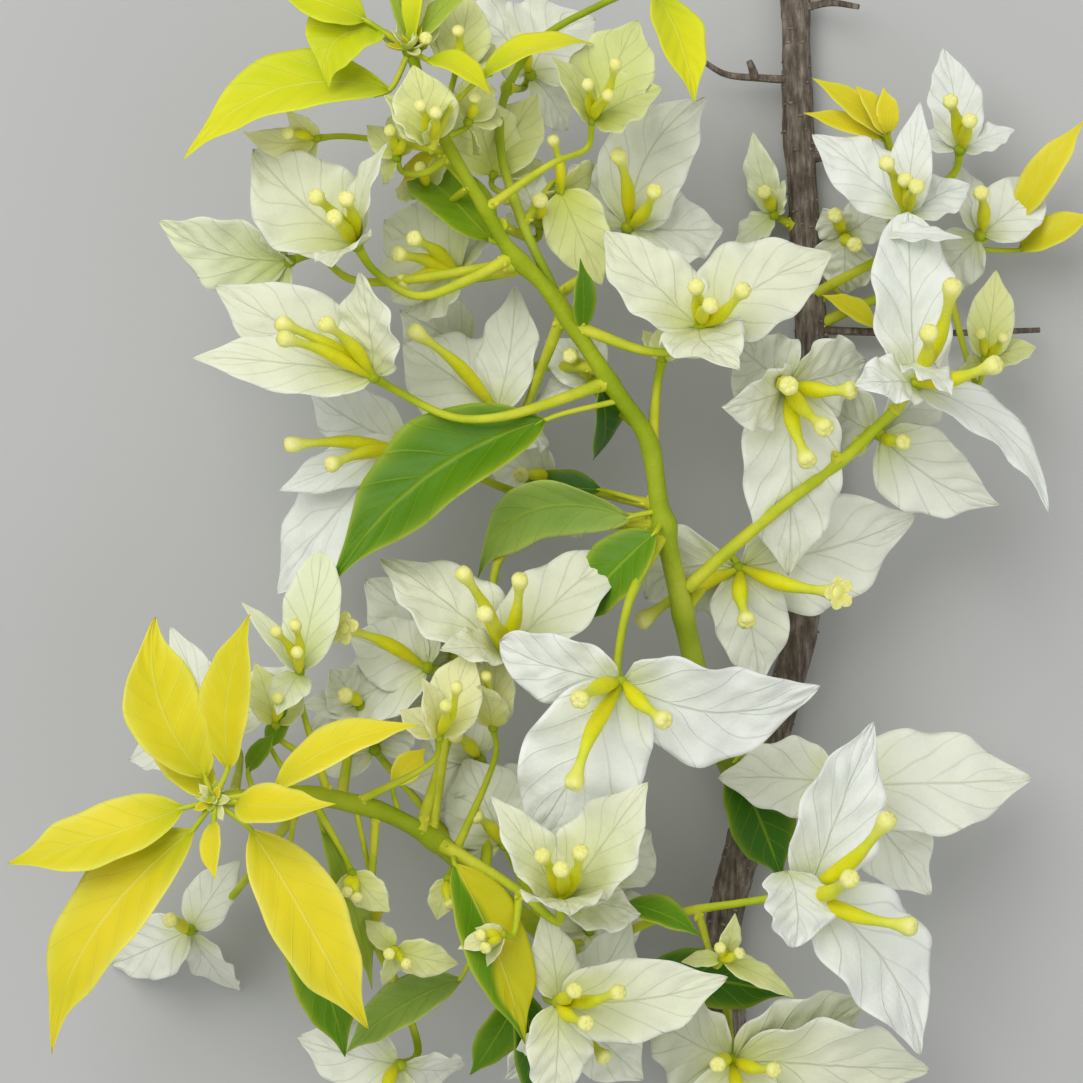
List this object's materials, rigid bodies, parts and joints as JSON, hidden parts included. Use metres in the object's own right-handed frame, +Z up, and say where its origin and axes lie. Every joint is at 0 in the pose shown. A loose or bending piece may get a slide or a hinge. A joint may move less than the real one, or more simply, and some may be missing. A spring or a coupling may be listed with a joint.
{
  "type": "cut flowering branch of white bougainvillea",
  "caption": "Cut bougainvillea branch lying down: woody stem, green shoots, whorls of three white papery bracts with tubular flowers, green and yellow leaves.",
  "frame": {"origin": "under the middle of the branch, on the table that it lies on", "axes": "+Z up from the table, +Y towards the growing tip, +X to the side that the woody stem is on"},
  "size_m": [0.2214, 0.2602, 0.0861],
  "materials": {
    "woody_bark": "rough grey-brown bark",
    "green_stem": "smooth yellow-green young bark",
    "white_bract": "papery, matt, finely veined",
    "young_bract": "papery, matt, cream-green",
    "green_leaf": "satin leaf with pale margin",
    "yellow_leaf": "satin young leaf"
  },
  "bodies": {
    "root": {"bloom_back_left": "white_bract", "bloom_back_right": "white_bract", "bloom_back_upper": "white_bract", "bloom_bottom_rear": "white_bract", "bloom_bottom_right": "white_bract", "bloom_bud_left": "young_bract", "bloom_bud_low": "young_bract", "bloom_centre": "white_bract", "bloom_cream_left": "young_bract", "bloom_cream_right": "young_bract", "bloom_far_left": "white_bract", "bloom_far_right": "white_bract", "bloom_front": "white_bract", "bloom_high_left": "white_bract", "bloom_high_rear": "white_bract", "bloom_left_low": "white_bract", "bloom_left_twin": "white_bract", "bloom_low_front": "white_bract", "bloom_low_star": "white_bract", "bloom_mid_rear": "white_bract", "bloom_open_flower": "white_bract", "bloom_pale_mid": "young_bract", "bloom_right_fall": "white_bract", "bloom_right_heart": "white_bract", "bloom_right_high": "white_bract", "bloom_right_low": "white_bract", "bloom_right_rear": "white_bract", "bloom_right_trumpet": "white_bract", "bloom_right_wing": "white_bract", "bloom_rosette_rear": "white_bract", "bloom_rosette_top": "young_bract", "bloom_small_hang": "young_bract", "bloom_table_left": "white_bract", "bloom_top_bud": "young_bract", "bloom_top_cream": "young_bract", "bloom_top_mid": "young_bract", "bloom_top_rear": "white_bract", "bloom_upper_right": "white_bract", "bloom_white_low": "white_bract", "bloom_young_mid": "young_bract", "crown_tuft": "yellow_leaf", "leaf_by_node": "green_leaf", "leaf_curled": "green_leaf", "leaf_dark_low": "green_leaf", "leaf_folded": "green_leaf", "leaf_green_high": "green_leaf", "leaf_green_low": "green_leaf", "leaf_large": "green_leaf", "leaf_pale_under": "green_leaf", "leaf_right_dark": "green_leaf", "leaf_top_arching": "yellow_leaf", "leaf_top_right": "yellow_leaf", "leaf_yellow_green": "yellow_leaf", "low_twig": "green_stem", "main_shoot": "green_stem", "right_twig": "green_stem", "rosette_tuft": "yellow_leaf", "side_shoot": "green_stem", "thin_shoot": "green_stem", "woody_stem": "woody_bark"}
  },
  "joints": []
}
